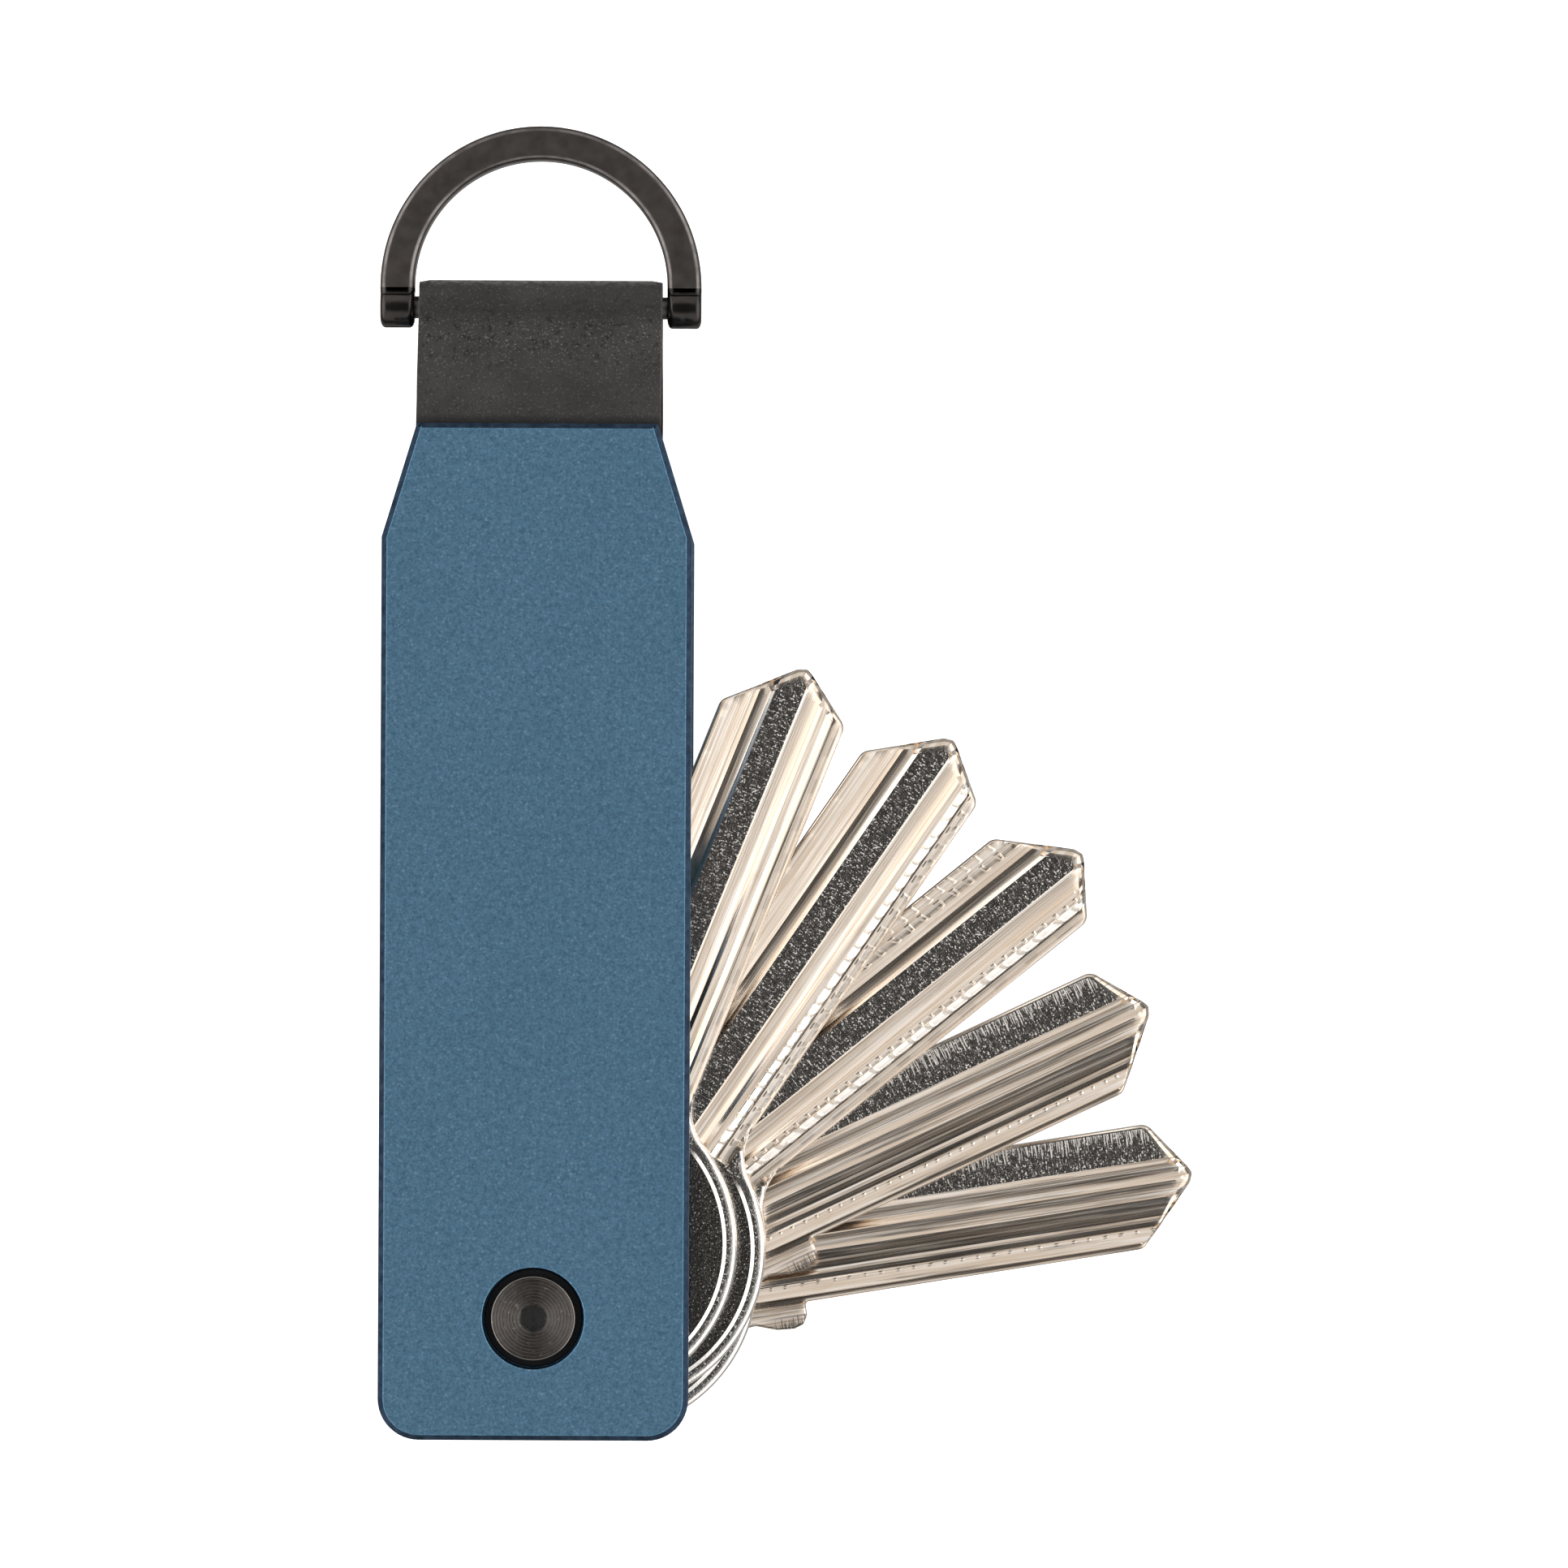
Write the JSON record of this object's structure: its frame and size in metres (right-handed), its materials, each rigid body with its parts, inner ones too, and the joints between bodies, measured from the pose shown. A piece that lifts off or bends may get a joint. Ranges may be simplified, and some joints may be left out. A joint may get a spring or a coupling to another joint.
{
  "type": "key organiser",
  "caption": "Slim pocket key organiser: keys fan out on a screwed post between anodised plates, with a leather strap and a swinging D-ring at the other end.",
  "frame": {"origin": "centre of the rear plate's outer face, which the object lies on", "axes": "+Z is the outward normal of the front plate, +Y runs from the pivot to the D-ring, the keys fan out towards +X"},
  "size_m": [0.0553, 0.0887, 0.0166],
  "materials": {
    "anodised_plate": "bead-blasted, blue anodised",
    "black_nickel": "turned, black nickel",
    "nylon": "moulded black nylon",
    "spring_steel": "bright",
    "nickel_key": "milled, nickel plated",
    "leather": "fine black grain",
    "coated_ring": "satin black coating"
  },
  "bodies": {
    "plates": {"front_plate": "anodised_plate", "rear_plate": "anodised_plate", "pivot_post": "black_nickel", "pivot_screw": "black_nickel", "screw_washer": "nylon", "disc_spring": "spring_steel", "friction_washer_1": "nylon", "friction_washer_2": "nylon", "friction_washer_3": "nylon", "friction_washer_4": "nylon", "friction_washer_5": "nylon", "friction_washer_6": "nylon", "strap": "leather", "strap_spacer": "nylon", "strap_standoffs": "spring_steel", "strap_screws": "black_nickel"},
    "key_1": {"key_1": "nickel_key"},
    "key_2": {"key_2": "nickel_key"},
    "key_3": {"key_3": "nickel_key"},
    "key_4": {"key_4": "nickel_key"},
    "key_5": {"key_5": "nickel_key"},
    "ring": {"d_ring": "coated_ring", "ring_pin": "coated_ring"}
  },
  "joints": [
    {"name": "key_1_swing", "type": "hinge", "parent": "plates", "child": "key_1", "pos_m": [0, -0.02575, 0.0083], "axis": [0, 0, 1], "range_deg": [-158.05, 21.95]},
    {"name": "key_2_swing", "type": "hinge", "parent": "plates", "child": "key_2", "pos_m": [0, -0.02575, 0.0083], "axis": [0, 0, 1], "range_deg": [-145.55, 34.45]},
    {"name": "key_3_swing", "type": "hinge", "parent": "plates", "child": "key_3", "pos_m": [0, -0.02575, 0.0083], "axis": [0, 0, 1], "range_deg": [-129.1, 50.9]},
    {"name": "key_4_swing", "type": "hinge", "parent": "plates", "child": "key_4", "pos_m": [0, -0.02575, 0.0083], "axis": [0, 0, 1], "range_deg": [-115.25, 64.75]},
    {"name": "key_5_swing", "type": "hinge", "parent": "plates", "child": "key_5", "pos_m": [0, -0.02575, 0.0083], "axis": [0, 0, 1], "range_deg": [-99.15, 80.85]},
    {"name": "ring_swing", "type": "hinge", "parent": "plates", "child": "ring", "pos_m": [0, 0.042, 0.0083], "axis": [1, 0, 0], "range_deg": [-100, 100]}
  ]
}
